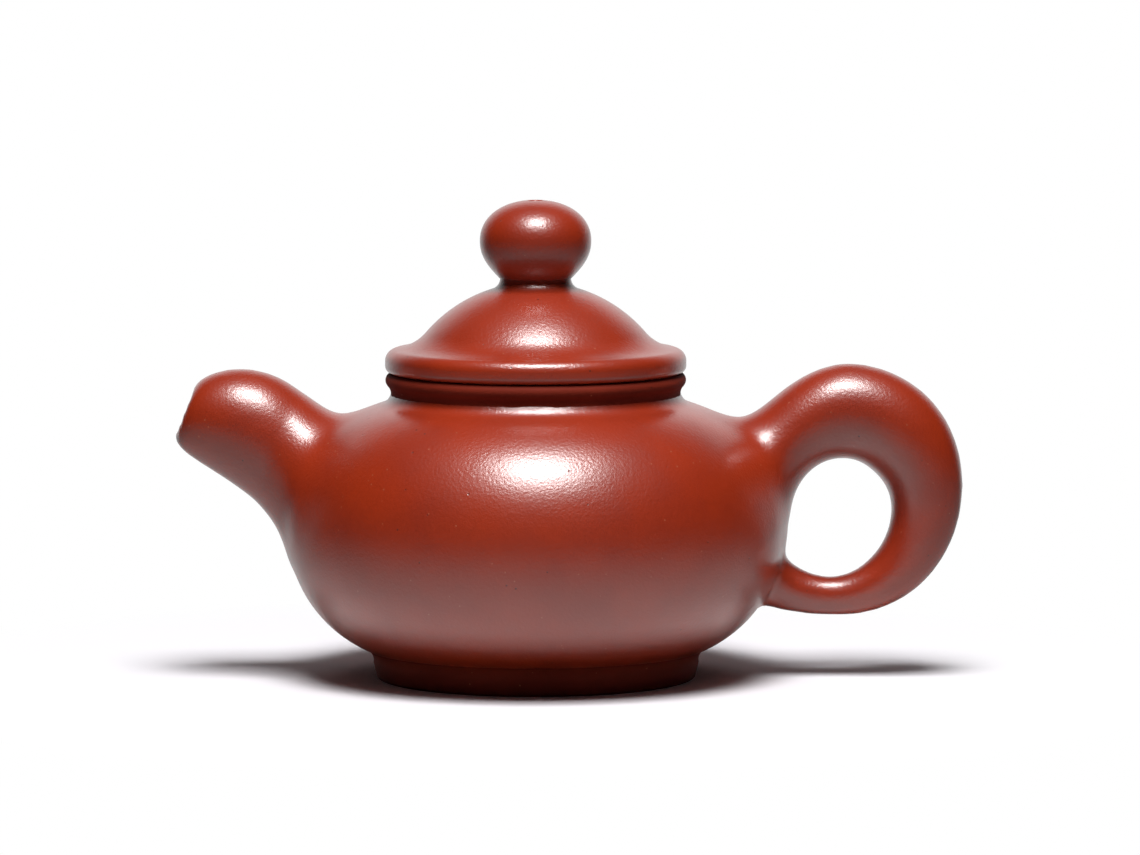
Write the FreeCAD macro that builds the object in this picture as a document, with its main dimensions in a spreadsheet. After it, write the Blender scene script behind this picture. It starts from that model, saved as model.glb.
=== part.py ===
import FreeCAD, Part
import Sketcher
import math
import os

doc = FreeCAD.newDocument("teapot")

# Sizes of the pot. Lengths are in millimetres, angles in degrees.
# Origin: centre of the flat foot. Z is up, the spout points to -X and the handle to +X.
SIZES = [
    ("body_diameter", 80.0, "widest width of the belly"),
    ("belly_arc", 21.0, "radius of the belly's rounded side, seen in section"),
    ("wall", 3.0, "thickness of the beaten clay wall"),
    ("seat_depth", 1.0, "depth to which spout and handle are let into the wall"),
    ("base_radius", 20.5, "joint between the base disc and the wall"),
    ("foot_height", 3.0, "height of the belly's lowest point over the table"),
    ("foot_step", 1.5, "step from the base disc's joint out to the foot ring"),
    ("foot_width", 3.9, "width of the foot ring"),
    ("foot_sweep", 1.8, "hollow curve from the foot into the belly"),
    ("foot_edge", 0.6, "rounding of the edges the pot stands on"),
    ("mouth_radius", 20.6, "radius of the opening under the lid"),
    ("mouth_edge", 0.5, "rounding of the mouth's edges"),
    ("shoulder_width", 3.6, "width of the shoulder disc round the mouth"),
    ("neck_height", 4.9, "height of the neck over the shoulder disc"),
    ("neck_wall", 2.55, "thickness of the neck at its waist"),
    ("neck_hollow", 1.7, "radius of the hollow under the neck's bead"),
    ("bead_wall", 3.55, "thickness of the neck at its bead"),
    ("bead_arc", 1.25, "rounding of the neck's bead"),
    ("brim_reach", 3.6, "reach of the lid's brim beyond the mouth"),
    ("brim_height", 3.8, "height of the lid's brim"),
    ("brim_top_round", 1.9, "rounding of the brim's upper edge"),
    ("brim_low_round", 1.1, "rounding of the brim's lower edge"),
    ("brim_sweep", 5.0, "hollow curve from the brim into the dome"),
    ("dome_reach", 2.7, "radius of the lid's dome over that of the mouth"),
    ("dome_height", 14.5, "height of the dome over the neck"),
    ("lid_wall", 3.0, "thickness of the lid's dome"),
    ("flange_gap", 0.35, "play between the lid's flange and the mouth, all round"),
    ("flange_wall", 2.0, "thickness of the lid's flange"),
    ("flange_depth", 7.0, "depth of the lid's flange"),
    ("flange_edge", 0.7, "rounding of the flange's lower edges"),
    ("knob_radius", 8.95, "outer radius of the knob"),
    ("knob_arc", 5.8, "radius of the knob's rounded shoulder, seen in section"),
    ("knob_rise", 6.65, "height of the knob over its widest place"),
    ("knob_drop", 6.5, "depth of the knob under its widest place"),
    ("knob_seat_radius", 6.2, "radius of the knob's seat on the dome"),
    ("knob_seat_sweep", 1.2, "hollow curve from the seat into the dome"),
    ("knob_seat_edge", 0.2, "edge of the seat left round the knob"),
    ("air_hole", 1.1, "radius of the air hole through knob and lid"),
    ("air_funnel", 2.4, "radius of the air hole's funnel under the lid"),
    ("air_funnel_depth", 1.4, "depth of that funnel"),
    ("spout_length", 16.1, "reach of the spout's mouth beyond the belly"),
    ("spout_rise", 19.15, "height of the spout's mouth over the belly's middle"),
    ("spout_elbow_out", 3.5, "place of the spout's bend beyond the belly"),
    ("spout_elbow_rise", 19.2, "height of the spout's bend over the belly's middle"),
    ("spout_root_inset", 6.5, "depth of the spout's root inside the belly"),
    ("spout_root_rise", 4.3, "height of the spout's root over the belly's middle"),
    ("spout_tip_depth", 8.5, "height of the spout's section at the mouth"),
    ("spout_bulb_depth", 19.6, "height of the spout's section behind its rounded nose"),
    ("spout_root_depth", 22.0, "height of the spout's section at the root"),
    ("spout_roundness", 0.95, "width of the spout's section against its height"),
    ("spout_tilt", 21.5, "backward lean of the spout's mouth and sections"),
    ("spout_bore_tip", 6.5, "passage at the spout's mouth"),
    ("spout_bore_root", 13.0, "passage at the spout's root"),
    ("spout_fillet", 7.0, "curve from the spout into the belly"),
    ("spout_seat_angle", 24.0, "height of the spout's seat on the belly, as an angle"),
    ("spout_seat_radius", 15.4, "radius of the spout's seat"),
    ("strainer_radius", 8.8, "outer radius of the strainer's dome"),
    ("strainer_wall", 1.5, "thickness of the strainer's dome"),
    ("strainer_hole", 1.1, "radius of the holes in the strainer"),
    ("handle_crown_out", 9.8, "place of the handle's crown beyond the belly"),
    ("handle_crown_rise", 18.8, "height of the crown's middle over the belly's middle"),
    ("handle_bend_out", 2.6, "place beyond the belly of the bend from the crown to the upper end"),
    ("handle_bow_out", 23.1, "reach of the handle's middle line beyond the belly"),
    ("handle_bow_rise", 5.4, "height of that farthest point over the belly's middle"),
    ("handle_under_out", 8.8, "place of the handle's lowest point beyond the belly"),
    ("handle_under_drop", 11.1, "depth of that point's middle under the belly's middle"),
    ("handle_tail_bend_out", 2.0, "place beyond the belly of the bend into the lower end"),
    ("handle_root_inset", 9.0, "depth of the handle's upper end inside the belly"),
    ("handle_root_rise", 2.5, "height of the handle's upper end over the belly's middle"),
    ("handle_tail_inset", 4.5, "depth of the handle's lower end inside the belly"),
    ("handle_tail_drop", 8.0, "depth of the handle's lower end under the belly's middle"),
    ("handle_root_thick", 11.8, "thickness of the handle at its upper end"),
    ("handle_crown_thick", 15.0, "thickness of the handle at its crown"),
    ("handle_shoulder_thick", 14.5, "thickness between crown and side"),
    ("handle_side_thick", 11.2, "thickness of the handle at its side"),
    ("handle_under_thick", 6.0, "thickness of the handle at its lowest point"),
    ("handle_tail_thick", 9.0, "thickness of the handle at its lower end"),
    ("handle_roundness", 0.86, "width of the handle's section against its thickness"),
    ("handle_root_lean", 54.0, "lean of the handle's section at its upper end"),
    ("handle_tail_lean", 18.0, "lean of the handle's section at its lower end"),
    ("handle_fillet", 5.0, "curve from the handle's upper end into the belly"),
    ("tail_fillet", 1.6, "curve from the handle's lower end into the belly"),
    ("handle_seat_angle", 28.5, "height of the handle's upper seat on the belly, as an angle"),
    ("handle_seat_radius", 11.0, "radius of the handle's upper seat"),
    ("tail_seat_angle", -25.0, "height of the handle's lower seat on the belly, as an angle"),
    ("tail_seat_radius", 6.4, "radius of the handle's lower seat"),
]

sheet = doc.addObject("Spreadsheet::Sheet", "Sizes")
for row, (alias, value, meaning) in enumerate(SIZES, start=1):
    sheet.set("A%d" % row, alias)
    sheet.set("B%d" % row, str(value))
    sheet.set("C%d" % row, meaning)
    sheet.setAlias("B%d" % row, alias)
doc.recompute()


class Size:
    """A length or an angle, kept with the expression that binds it to the sheet."""

    def __init__(self, value, text):
        self.value = value
        self.text = text

    def __add__(self, other):
        other = as_size(other)
        return Size(self.value + other.value, "(%s + %s)" % (self.text, other.text))

    def __sub__(self, other):
        other = as_size(other)
        return Size(self.value - other.value, "(%s - %s)" % (self.text, other.text))

    def __mul__(self, other):
        other = as_size(other)
        return Size(self.value * other.value, "(%s * %s)" % (self.text, other.text))

    def __truediv__(self, other):
        other = as_size(other)
        return Size(self.value / other.value, "(%s / %s)" % (self.text, other.text))

    def __radd__(self, other):
        return as_size(other) + self

    def __rsub__(self, other):
        return as_size(other) - self

    def __rmul__(self, other):
        return as_size(other) * self

    def __neg__(self):
        return as_size(0.0) - self


def as_size(value):
    if isinstance(value, Size):
        return value
    return Size(float(value), "%.6f" % value)


def of_sheet(alias):
    return Size(float(sheet.get(alias)), "Sizes.%s" % alias)


def root_of(size):
    return Size(math.sqrt(size.value), "sqrt(%s)" % size.text)


def sine(angle):
    return Size(math.sin(math.radians(angle.value)), "sin(%s)" % angle.text)


def cosine(angle):
    return Size(math.cos(math.radians(angle.value)), "cos(%s)" % angle.text)


def blend(first, last, share):
    return first * (1.0 - share) + last * share


def across(radius, offset):
    """Height of a circle over its middle, at a distance beside the middle."""
    return root_of(radius * radius - offset * offset)


class Bend:
    """A rounded stretch of an outline. Left: the centre lies to the left of the way."""

    def __init__(self, radius, left):
        self.radius = radius
        self.left = left


def left(radius):
    return Bend(radius, True)


def right(radius):
    return Bend(radius, False)


def arc_between(start, end, bend):
    chord = end - start
    half = chord.Length / 2.0
    toward = FreeCAD.Vector(-chord.y, chord.x, 0.0).normalize()
    side = 1.0 if bend.left else -1.0
    reach = math.sqrt(max(bend.radius.value ** 2 - half ** 2, 0.0))
    centre = (start + end) * 0.5 + toward * (side * reach)
    first, last = (start, end) if bend.left else (end, start)
    first_angle = math.atan2(first.y - centre.y, first.x - centre.x)
    last_angle = math.atan2(last.y - centre.y, last.x - centre.x)
    circle = Part.Circle(centre, FreeCAD.Vector(0, 0, 1), bend.radius.value)
    return Part.ArcOfCircle(circle, first_angle, last_angle)


def bind_constraint(sketch, constraint, size):
    index = sketch.addConstraint(constraint)
    sketch.setExpression("Constraints[%d]" % index, size.text)


def draw_outline(body, name, steps):
    """Closed outline in the upright plane through the spout: corners (r, z) with bends between them."""
    sketch = body.newObject("Sketcher::SketchObject", name)
    plane = next(item for item in body.Origin.OriginFeatures if item.Role == "XZ_Plane")
    sketch.AttachmentSupport = (plane, [""])
    sketch.MapMode = "FlatFace"
    corners = []
    bends = []
    for step in steps:
        if isinstance(step, Bend):
            bends[-1] = step
        else:
            corners.append((as_size(step[0]), as_size(step[1])))
            bends.append(None)
    points = [FreeCAD.Vector(r.value, z.value, 0.0) for r, z in corners]
    starts = []
    for index, bend in enumerate(bends):
        start = points[index]
        end = points[(index + 1) % len(points)]
        if bend is None:
            edge = sketch.addGeometry(Part.LineSegment(start, end))
            starts.append((edge, 1, 2))
        else:
            edge = sketch.addGeometry(arc_between(start, end, bend))
            starts.append((edge, 1, 2) if bend.left else (edge, 2, 1))
    for index, (edge, first, last) in enumerate(starts):
        following = starts[(index + 1) % len(starts)]
        sketch.addConstraint(Sketcher.Constraint("Coincident", edge, last, following[0], following[1]))
    for (edge, first, last), (r, z), bend in zip(starts, corners, bends):
        if r.value == 0.0:
            sketch.addConstraint(Sketcher.Constraint("PointOnObject", edge, first, -2))
        else:
            bind_constraint(sketch, Sketcher.Constraint("DistanceX", -1, 1, edge, first, r.value), r)
        if z.value == 0.0:
            sketch.addConstraint(Sketcher.Constraint("PointOnObject", edge, first, -1))
        else:
            bind_constraint(sketch, Sketcher.Constraint("DistanceY", -1, 1, edge, first, z.value), z)
        if bend is not None:
            bind_constraint(sketch, Sketcher.Constraint("Radius", edge, bend.radius.value), bend.radius)
    return sketch


def turned_body(name, steps):
    """A piece thrown round the pot's axis."""
    body = doc.addObject("PartDesign::Body", name)
    sketch = draw_outline(body, name + "_outline", steps)
    turn = body.newObject("PartDesign::Revolution", name + "_turn")
    turn.Profile = sketch
    turn.ReferenceAxis = (sketch, ["V_Axis"])
    turn.Angle = 360.0
    body.Tip = turn
    return body


def place(item, x, z, lean):
    """Puts an object at (x, z), leaned about the cross axis so that its own X rises by the lean."""
    item.setExpression(
        "Placement",
        "placement(vector(%s; 0; %s); rotation(vector(0; -1; 0); %s))"
        % (as_size(x).text, as_size(z).text, as_size(lean).text),
    )


def section(name, x, z, lean, depth, roundness):
    """Oval section of the spout or the handle. Its long way lies in the upright plane."""
    oval = doc.addObject("Part::Ellipse", name)
    oval.setExpression("MajorRadius", (depth / 2).text)
    oval.setExpression("MinorRadius", (depth * roundness / 2).text)
    place(oval, x, z, lean)
    return oval


def loft(name, sections):
    skin = doc.addObject("Part::Loft", name)
    skin.Sections = sections
    skin.Solid = True
    skin.Ruled = False
    skin.Closed = False
    return skin


def rod(name, radius, length, x, z, lean):
    """Round rod that starts at (x, z) and points up by the lean, toward +X."""
    item = doc.addObject("Part::Cylinder", name)
    item.setExpression("Radius", as_size(radius).text)
    item.setExpression("Height", as_size(length).text)
    place(item, x, z, as_size(lean) - 90)
    return item


def cut(name, base, tool):
    item = doc.addObject("Part::Cut", name)
    item.Base = base
    item.Tool = tool
    return item


def common(name, base, tool):
    item = doc.addObject("Part::Common", name)
    item.Base = base
    item.Tool = tool
    return item


def fuse(name, shapes):
    item = doc.addObject("Part::MultiFuse", name)
    item.Shapes = shapes
    return item


# Heights and radii that follow from the sizes
body_radius = of_sheet("body_diameter") / 2
belly_arc = of_sheet("belly_arc")
wall = of_sheet("wall")
belly_ring = body_radius - belly_arc
belly_middle = of_sheet("foot_height") + belly_arc
inner_arc = belly_arc - wall
base_radius = of_sheet("base_radius")
mouth_radius = of_sheet("mouth_radius")
neck_radius = mouth_radius + of_sheet("shoulder_width")


def belly_under(radius, arc=belly_arc):
    return belly_middle - across(arc, radius - belly_ring)


def belly_over(radius, arc=belly_arc):
    return belly_middle + across(arc, radius - belly_ring)


base_low = belly_under(base_radius)
base_high = belly_under(base_radius, inner_arc)
slab_low = belly_over(neck_radius, inner_arc)
slab_high = belly_over(neck_radius)
rim = slab_high + of_sheet("neck_height")


# Base disc: flat slab that the wall stands round
base_disc = turned_body("base_disc", [
    (0, base_low),
    (base_radius, base_low),
    (base_radius, base_high),
    (0, base_high),
])

# Shoulder disc: flat ring closing the belly round the mouth
mouth_edge = of_sheet("mouth_edge")
top_slab = turned_body("top_slab", [
    (mouth_radius, slab_high),
    (mouth_radius, slab_low + mouth_edge),
    left(mouth_edge),
    (mouth_radius + mouth_edge, slab_low),
    (neck_radius, slab_low),
    (neck_radius, slab_high),
])

# Foot ring: flat where it stands, swept out into the belly
foot_inner = base_radius + of_sheet("foot_step")
foot_radius = foot_inner + of_sheet("foot_width")
foot_sweep = of_sheet("foot_sweep")
foot_edge = of_sheet("foot_edge")
SWEEP_TURN = 50.0
foot_top = foot_radius + foot_sweep * (1.0 - math.cos(math.radians(SWEEP_TURN)))
foot_side = belly_under(foot_top) - foot_sweep * math.sin(math.radians(SWEEP_TURN))
foot_ring = turned_body("foot_ring", [
    (foot_inner, belly_under(foot_inner)),
    left(belly_arc),
    (foot_top, belly_under(foot_top)),
    left(foot_sweep),
    (foot_radius, foot_side),
    (foot_radius, foot_edge),
    right(foot_edge),
    (foot_radius - foot_edge, 0),
    (foot_inner + foot_edge, 0),
    right(foot_edge),
    (foot_inner, foot_edge),
])

# Neck ring: a hollow over the shoulder, then a round bead with a flat top for the lid
neck_hollow = of_sheet("neck_hollow")
bead_arc = of_sheet("bead_arc")
bead_ring = mouth_radius + of_sheet("bead_wall") - bead_arc
bead_middle = rim - bead_arc
hollow_ring = mouth_radius + of_sheet("neck_wall") + neck_hollow
hollow_middle = bead_middle - across(bead_arc + neck_hollow, hollow_ring - bead_ring)
bead_share = bead_arc / (bead_arc + neck_hollow)
neck_ring = turned_body("neck_ring", [
    (mouth_radius, slab_high),
    (hollow_ring - across(neck_hollow, hollow_middle - slab_high), slab_high),
    right(neck_hollow),
    (bead_ring + (hollow_ring - bead_ring) * bead_share,
     bead_middle + (hollow_middle - bead_middle) * bead_share),
    left(bead_arc),
    (bead_ring, rim),
    (mouth_radius + mouth_edge, rim),
    left(mouth_edge),
    (mouth_radius, rim - mouth_edge),
])

# Lid: brim, hollow sweep, dome and the knob's seat, hollow underneath
dome_radius = mouth_radius + of_sheet("dome_reach")
dome_middle = rim + of_sheet("dome_height") - dome_radius
dome_inside = dome_radius - of_sheet("lid_wall")
brim_radius = mouth_radius + of_sheet("brim_reach")
brim_top = rim + of_sheet("brim_height")
brim_sweep = of_sheet("brim_sweep")
top_round = of_sheet("brim_top_round")
low_round = of_sheet("brim_low_round")
seat_radius = of_sheet("knob_seat_radius")
seat_sweep = of_sheet("knob_seat_sweep")
seat_top = dome_middle + across(dome_radius + seat_sweep, seat_radius + seat_sweep)
seat_share = dome_radius / (dome_radius + seat_sweep)
sweep_share = dome_radius / (dome_radius + brim_sweep)
sweep_ring = across(dome_radius + brim_sweep, brim_top + brim_sweep - dome_middle)
air_hole = of_sheet("air_hole")
air_funnel = of_sheet("air_funnel")
lid_dome = turned_body("lid_dome", [
    (air_hole, seat_top),
    (seat_radius, seat_top),
    left(seat_sweep),
    ((seat_radius + seat_sweep) * seat_share, dome_middle + (seat_top - dome_middle) * seat_share),
    right(dome_radius),
    (sweep_ring * sweep_share, dome_middle + (brim_top + brim_sweep - dome_middle) * sweep_share),
    left(brim_sweep),
    (sweep_ring, brim_top),
    (brim_radius - top_round, brim_top),
    right(top_round),
    (brim_radius, brim_top - top_round),
    (brim_radius, rim + low_round),
    right(low_round),
    (brim_radius - low_round, rim),
    (across(dome_inside, rim - dome_middle), rim),
    left(dome_inside),
    (air_funnel, dome_middle + across(dome_inside, air_funnel)),
    (air_hole, dome_middle + dome_inside + of_sheet("air_funnel_depth")),
])

# Flange: the ring under the lid that hangs in the mouth
flange_outer = mouth_radius - of_sheet("flange_gap")
flange_inner = flange_outer - of_sheet("flange_wall")
flange_edge = of_sheet("flange_edge")
flange_low = rim - of_sheet("flange_depth")
lid_flange = turned_body("lid_flange", [
    (flange_inner, rim),
    (flange_inner, flange_low + flange_edge),
    left(flange_edge),
    (flange_inner + flange_edge, flange_low),
    (flange_outer - flange_edge, flange_low),
    left(flange_edge),
    (flange_outer, flange_low + flange_edge),
    (flange_outer, rim),
])

# Knob: a flattened ball that tapers to its foot, with the air hole down its middle
knob_radius = of_sheet("knob_radius")
knob_arc = of_sheet("knob_arc")
knob_rise = of_sheet("knob_rise")
knob_drop = of_sheet("knob_drop")
knob_ring = knob_radius - knob_arc
knob_foot = seat_radius - of_sheet("knob_seat_edge")
knob_taper = knob_radius - knob_foot
knob_flank = (knob_taper * knob_taper + knob_drop * knob_drop) / (knob_taper * 2)
knob_crown = (knob_ring * knob_ring + knob_rise * knob_rise - knob_arc * knob_arc) / (
    (knob_rise - knob_arc) * 2
)
knob_middle = seat_top + knob_drop
crown_middle = knob_middle + knob_rise - knob_crown
crown_share = knob_crown / (knob_crown - knob_arc)
lid_knob = turned_body("lid_knob", [
    (air_hole, seat_top),
    (knob_foot, seat_top),
    left(knob_flank),
    (knob_radius, knob_middle),
    left(knob_arc),
    (knob_ring * crown_share, crown_middle + (knob_middle - crown_middle) * crown_share),
    left(knob_crown),
    (air_hole, crown_middle + across(knob_crown, air_hole)),
])

# Forms that the belly, the spout and the handle are cut from
seat_arc = belly_arc - of_sheet("seat_depth")


def belly_form(name, arc):
    return turned_body(name, [
        (0, belly_middle - arc),
        (belly_ring, belly_middle - arc),
        left(arc),
        (neck_radius, belly_over(neck_radius, arc)),
        (0, belly_over(neck_radius, arc)),
    ])


belly_skin = belly_form("belly_skin", belly_arc)
belly_core = belly_form("belly_core", seat_arc)
tea_chamber = turned_body("tea_chamber", [
    (0, base_high),
    (base_radius, base_high),
    left(inner_arc),
    (neck_radius, slab_low),
    (0, slab_low),
])
wall_ring = turned_body("wall_ring", [
    (base_radius, base_low),
    left(belly_arc),
    (neck_radius, slab_high),
    (neck_radius, slab_low),
    right(inner_arc),
    (base_radius, base_high),
])

# Spout: oval sections along a line that bends from the root to the mouth
mouth_x = -(body_radius + of_sheet("spout_length"))
mouth_z = belly_middle + of_sheet("spout_rise")
elbow_x = -(body_radius + of_sheet("spout_elbow_out"))
elbow_z = belly_middle + of_sheet("spout_elbow_rise")
spout_root_x = -(body_radius - of_sheet("spout_root_inset"))
spout_root_z = belly_middle + of_sheet("spout_root_rise")


def curve(first, bend, last, share):
    return first * (1 - share) ** 2 + bend * (2 * share * (1 - share)) + last * share ** 2


def spout_section(name, share, depth):
    x = curve(mouth_x, elbow_x, spout_root_x, share)
    z = curve(mouth_z, elbow_z, spout_root_z, share)
    return section(name, x, z, 90 - of_sheet("spout_tilt"), depth, of_sheet("spout_roundness"))


NOSE_SHARE = 0.7
bulb_depth = of_sheet("spout_bulb_depth")
SKIN_SHARES = [0.0, 0.02, 0.06, 0.12, 0.2, 0.32, 0.5, 0.7, 0.85, 1.0]
skin_sections = []
for index, share in enumerate(SKIN_SHARES):
    if share < NOSE_SHARE:
        fullness = math.sqrt(1.0 - (1.0 - share / NOSE_SHARE) ** 2)
        depth = blend(of_sheet("spout_tip_depth"), bulb_depth, fullness)
    else:
        fullness = (share - NOSE_SHARE) / (1.0 - NOSE_SHARE)
        depth = blend(bulb_depth, of_sheet("spout_root_depth"), fullness)
    skin_sections.append(spout_section("spout_skin_%d" % index, share, depth))
spout_skin = loft("spout_skin", skin_sections)

BORE_SHARES = [-0.12, 0.0, 0.12, 0.3, 0.5, 0.75, 1.0, 1.15]
bore_sections = []
for index, share in enumerate(BORE_SHARES):
    fullness = math.sqrt(max(share, 0.0))
    depth = blend(of_sheet("spout_bore_tip"), of_sheet("spout_bore_root"), min(fullness, 1.0))
    bore_sections.append(spout_section("spout_bore_%d" % index, share, depth))
spout_bore = loft("spout_bore", bore_sections)

# Handle: oval sections from the upper end over the crown and round the bow to the lower end
crown_x = body_radius + of_sheet("handle_crown_out")
crown_z = belly_middle + of_sheet("handle_crown_rise")
bow_x = body_radius + of_sheet("handle_bow_out")
bow_z = belly_middle + of_sheet("handle_bow_rise")
under_x = body_radius + of_sheet("handle_under_out")
under_z = belly_middle - of_sheet("handle_under_drop")
bend_x = body_radius + of_sheet("handle_bend_out")
tail_bend_x = body_radius + of_sheet("handle_tail_bend_out")
handle_root_x = body_radius - of_sheet("handle_root_inset")
handle_root_z = belly_middle + of_sheet("handle_root_rise")
tail_x = body_radius - of_sheet("handle_tail_inset")
tail_z = belly_middle - of_sheet("handle_tail_drop")
root_thick = of_sheet("handle_root_thick")
crown_thick = of_sheet("handle_crown_thick")
side_thick = of_sheet("handle_side_thick")
under_thick = of_sheet("handle_under_thick")
tail_thick = of_sheet("handle_tail_thick")
DIAGONAL = math.sqrt(0.5)
handle_stations = []
for share in [1.0, 0.7, 0.35]:
    handle_stations.append((
        curve(crown_x, bend_x, handle_root_x, share),
        curve(crown_z, crown_z, handle_root_z, share),
        90 + of_sheet("handle_root_lean") * share,
        blend(crown_thick, root_thick, share),
    ))
handle_stations += [
    (crown_x, crown_z, as_size(90), crown_thick),
    (blend(crown_x, bow_x, DIAGONAL), blend(bow_z, crown_z, DIAGONAL), as_size(45),
     of_sheet("handle_shoulder_thick")),
    (bow_x, bow_z, as_size(0), side_thick),
    (blend(under_x, bow_x, DIAGONAL), blend(bow_z, under_z, DIAGONAL), as_size(-45),
     blend(side_thick, under_thick, 0.45)),
    (under_x, under_z, as_size(-90), under_thick),
]
for share in [0.55, 1.0]:
    handle_stations.append((
        curve(under_x, tail_bend_x, tail_x, share),
        curve(under_z, under_z, tail_z, share),
        -90 - of_sheet("handle_tail_lean") * share,
        blend(under_thick, tail_thick, share * share),
    ))
handle_sections = []
for index, (x, z, lean, thick) in enumerate(handle_stations):
    name = "handle_section_%d" % index
    handle_sections.append(section(name, x, z, lean, thick, of_sheet("handle_roundness")))
handle_skin = loft("handle_skin", handle_sections)


# The three joints are faired into the belly before the pieces are parted
def lies_on(edge, shape):
    """True where the whole edge lies on the rounded faces of the shape."""
    faces = [face for face in shape.Faces if not isinstance(face.Surface, Part.Plane)]
    first, last = edge.ParameterRange
    for step in range(5):
        spot = Part.Vertex(edge.valueAt(first + (last - first) * (step + 0.5) / 5))
        if min(face.distToShape(spot)[0] for face in faces) > 0.001:
            return False
    return True


def joint_edges(shape, piece, side):
    """Names of the edges where a piece meets the belly, on one side of a height."""
    names = []
    for number, edge in enumerate(shape.Edges, start=1):
        if side(edge.BoundBox.Center) and lies_on(edge, piece) and lies_on(edge, belly_skin.Shape):
            names.append("Edge%d" % number)
    return names


def rounded(body, name, edges, alias):
    """Rounds edges of the body's last step."""
    base = body.Tip
    step = body.newObject("PartDesign::Fillet", name)
    step.Base = (base, edges)
    step.setExpression("Radius", "Sizes.%s" % alias)
    body.Tip = step
    doc.recompute()
    return step


def body_from(name, source):
    body = doc.addObject("PartDesign::Body", name)
    body.BaseFeature = source
    doc.recompute()
    return body


clay_form = fuse("clay_form", [belly_skin, spout_skin, handle_skin])
doc.recompute()
middle = belly_middle.value
faired_form = body_from("faired_form", clay_form)
rounded(faired_form, "spout_fairing",
        joint_edges(faired_form.Shape, spout_skin.Shape, lambda spot: spot.x < 0), "spout_fillet")
rounded(faired_form, "handle_fairing",
        joint_edges(faired_form.Shape, handle_skin.Shape, lambda spot: spot.z > middle), "handle_fillet")
rounded(faired_form, "tail_fairing",
        joint_edges(faired_form.Shape, handle_skin.Shape, lambda spot: spot.z < middle), "tail_fillet")


# Round seats in the wall for the spout and for both ends of the handle
def seat(name, side, angle, radius, reach):
    way = angle if side > 0 else 180 - angle
    start_x = (belly_ring + cosine(angle) * belly_arc / 2) * side
    start_z = belly_middle + sine(angle) * belly_arc / 2
    return rod(name, radius, belly_arc * reach, start_x, start_z, way)


spout_angle = of_sheet("spout_seat_angle")
spout_seat = seat("spout_seat", -1, spout_angle, of_sheet("spout_seat_radius"), 2.0)
handle_seat = seat("handle_seat", 1, of_sheet("handle_seat_angle"), of_sheet("handle_seat_radius"), 1.5)
tail_seat = seat("tail_seat", 1, of_sheet("tail_seat_angle"), of_sheet("tail_seat_radius"), 1.0)

seat_pockets = cut("seat_pockets", fuse("seats", [spout_seat, handle_seat, tail_seat]), belly_core)
body_wall = cut("body_wall", cut("wall_seated", wall_ring, seat_pockets), spout_bore)

clay_outside = cut("clay_outside", faired_form, belly_core)
spout_blank = common("spout_blank", clay_outside, spout_seat)
spout = cut("spout", spout_blank, spout_bore)

handle_yard = doc.addObject("Part::Box", "handle_yard")
handle_yard.setExpression("Length", (bow_x * 2).text)
handle_yard.setExpression("Width", bow_x.text)
handle_yard.setExpression("Height", (belly_middle * 3).text)
handle_yard.setExpression(
    "Placement",
    "placement(vector(0; %s; 0); rotation(vector(0; 0; 1); 0))" % (-(bow_x / 2)).text,
)
belly_clear = doc.addObject("Part::Cylinder", "belly_clear")
belly_clear.setExpression("Radius", (body_radius + wall / 2).text)
belly_clear.setExpression("Height", (belly_middle * 3).text)
handle_room = fuse("handle_room", [cut("handle_outside", handle_yard, belly_clear), handle_seat, tail_seat])
handle = common("handle", clay_outside, handle_room)

# Strainer: a pierced dome inside the wall, over the spout's root
strainer_radius = of_sheet("strainer_radius")
strainer_x = -(belly_ring + cosine(spout_angle) * inner_arc)
strainer_z = belly_middle + sine(spout_angle) * inner_arc
dome_outside = doc.addObject("Part::Sphere", "strainer_outside")
dome_outside.setExpression("Radius", strainer_radius.text)
place(dome_outside, strainer_x, strainer_z, 0)
dome_hollow = doc.addObject("Part::Sphere", "strainer_hollow")
dome_hollow.setExpression("Radius", (strainer_radius - of_sheet("strainer_wall")).text)
place(dome_hollow, strainer_x, strainer_z, 0)
STRAINER_RINGS = [(1, 0.0), (6, 30.0), (10, 56.0)]
holes = []
for ring, (count, opening) in enumerate(STRAINER_RINGS):
    for number in range(count):
        turn = 360.0 * number / count
        hole = doc.addObject("Part::Cylinder", "strainer_hole_%d_%d" % (ring, number))
        hole.setExpression("Radius", "Sizes.strainer_hole")
        hole.setExpression("Height", (strainer_radius * 1.2).text)
        hole.setExpression(
            "Placement",
            "placement(vector(%s; 0; %s); rotation(vector(0; 1; 0); 90 + %s)"
            " * rotation(vector(0; 0; 1); %.4f) * rotation(vector(0; 1; 0); %.4f))"
            % (strainer_x.text, strainer_z.text, spout_angle.text, turn, opening),
        )
        holes.append(hole)
strainer_shell = cut("strainer_shell", dome_outside, fuse("strainer_openings", [dome_hollow] + holes))
strainer = common("strainer", strainer_shell, tea_chamber)
doc.recompute()

NODES = [body_wall, base_disc, top_slab, foot_ring, neck_ring, spout, strainer, handle,
         lid_dome, lid_flange, lid_knob]
doc.recompute()
for item in doc.Objects:
    if "Invalid" in item.State or "Error" in item.State:
        raise RuntimeError("%s did not recompute" % item.Label)
os.makedirs("parts", exist_ok=True)
for node in NODES:
    shape = node.Shape
    if shape.isNull() or not shape.isValid():
        raise RuntimeError("%s has no valid shape" % node.Label)
    shape.exportStep("parts/%s.step" % node.Label)
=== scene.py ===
import math

import bpy
from bpy.props import FloatProperty, FloatVectorProperty, PointerProperty
from mathutils import Euler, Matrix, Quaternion, Vector
from mathutils.bvhtree import BVHTree
from mathutils.geometry import interpolate_bezier, intersect_sphere_sphere_2d


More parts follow.
